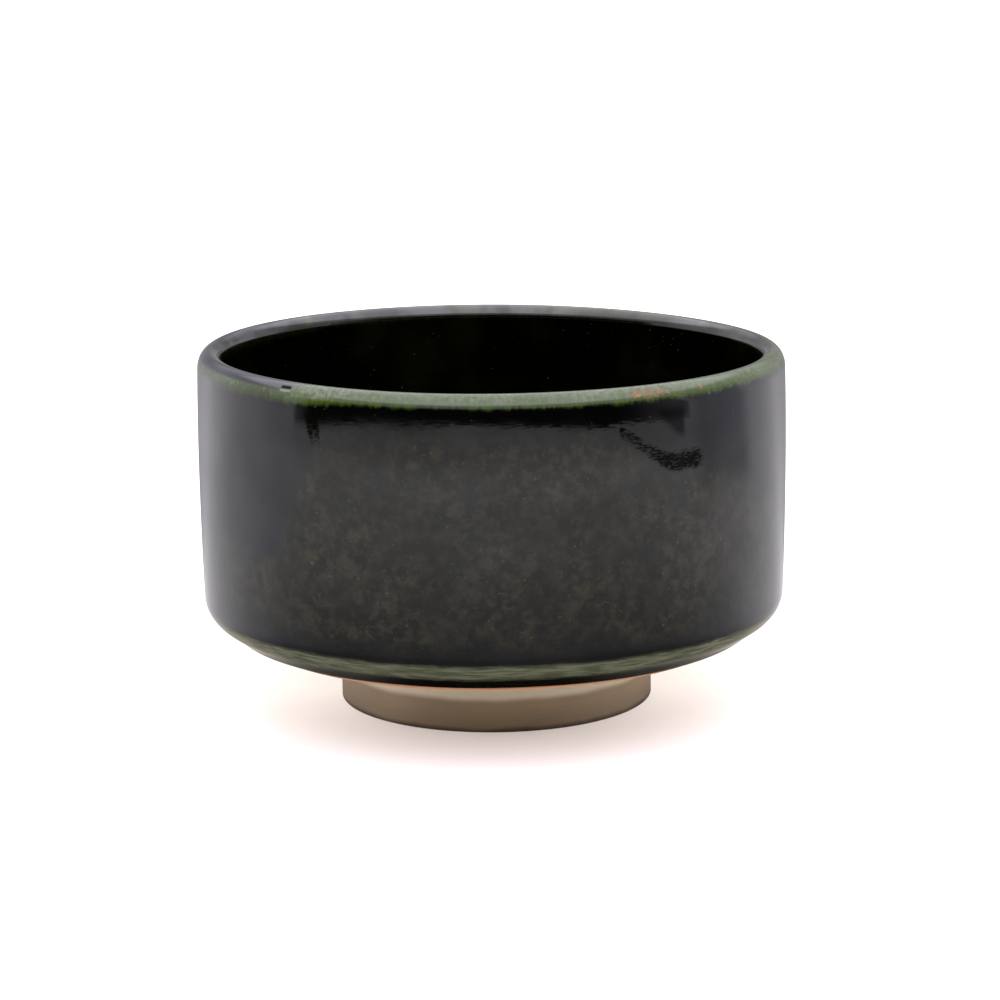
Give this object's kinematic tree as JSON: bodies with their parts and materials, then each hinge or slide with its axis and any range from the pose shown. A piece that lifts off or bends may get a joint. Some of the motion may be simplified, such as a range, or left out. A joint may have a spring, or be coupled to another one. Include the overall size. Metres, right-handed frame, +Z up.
{
  "type": "matcha bowl",
  "caption": "Straight-sided stoneware tea bowl with a dark green-black glaze inside and out, a bevelled bottom corner and a bare clay foot ring.",
  "frame": {"origin": "centre of the foot ring's resting face, on the bowl's axis", "axes": "+Z up along the bowl's axis, from the foot to the lip; the bowl is round, so X and Y are free"},
  "size_m": [0.12, 0.12, 0.0726],
  "materials": {
    "bare_clay": "bare fired stoneware, matt, flashed orange beside the glaze edge",
    "foot_clay": "bare fired stoneware, matt, fine dark grit, paler under the bowl",
    "slip": "fired slip, matt",
    "inner_glaze": "glossy black-green glaze, faint olive mottling",
    "outer_glaze": "glossy black-green glaze with fine olive specks, breaking to green at the lip and bottom corner"
  },
  "bodies": {
    "root": {"clay_body": "bare_clay", "foot_ring": "foot_clay", "luting_slip": "slip", "inner_glaze": "inner_glaze", "outer_glaze": "outer_glaze"}
  },
  "joints": []
}
